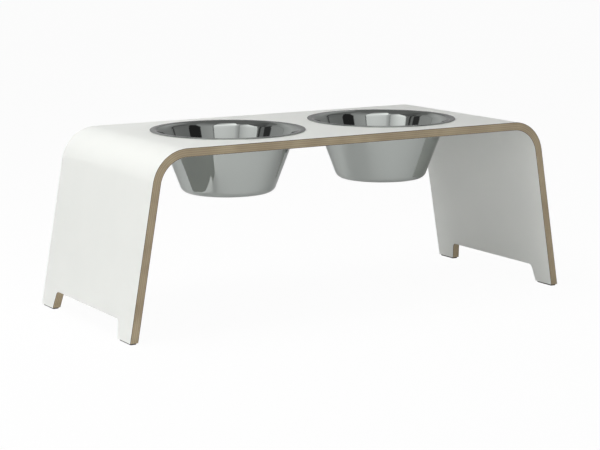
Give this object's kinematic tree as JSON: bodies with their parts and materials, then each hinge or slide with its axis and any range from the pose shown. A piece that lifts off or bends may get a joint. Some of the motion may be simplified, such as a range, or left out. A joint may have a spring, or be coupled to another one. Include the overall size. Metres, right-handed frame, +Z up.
{
  "type": "dog feeding station",
  "caption": "Low bench of bent plywood faced with white laminate, on splayed and notched legs, that holds lift-out polished steel bowls at feeding height.",
  "frame": {"origin": "on the floor, under the middle of the bench", "axes": "+X to the right along the bench's length, +Y to its back, +Z up"},
  "size_m": [0.6036, 0.24, 0.2145],
  "materials": {
    "white_laminate": "satin",
    "beech_veneer": "satin",
    "pad_rubber": "matte",
    "polished_steel": "polished"
  },
  "bodies": {
    "bench": {"outer_laminate": "white_laminate", "veneer_1": "beech_veneer", "veneer_2": "beech_veneer", "veneer_3": "beech_veneer", "veneer_4": "beech_veneer", "veneer_5": "beech_veneer", "veneer_6": "beech_veneer", "veneer_7": "beech_veneer", "inner_laminate": "white_laminate", "foot_pad_front_left": "pad_rubber", "foot_pad_front_right": "pad_rubber", "foot_pad_back_left": "pad_rubber", "foot_pad_back_right": "pad_rubber"},
    "left_bowl": {"bowl_left": "polished_steel"},
    "right_bowl": {"bowl_right": "polished_steel"}
  },
  "joints": [
    {"name": "left_bowl_lift", "type": "slide", "parent": "bench", "child": "left_bowl", "axis": [0, 0, 1], "range_m": [0, 0.09]},
    {"name": "right_bowl_lift", "type": "slide", "parent": "bench", "child": "right_bowl", "axis": [0, 0, 1], "range_m": [0, 0.09]}
  ]
}
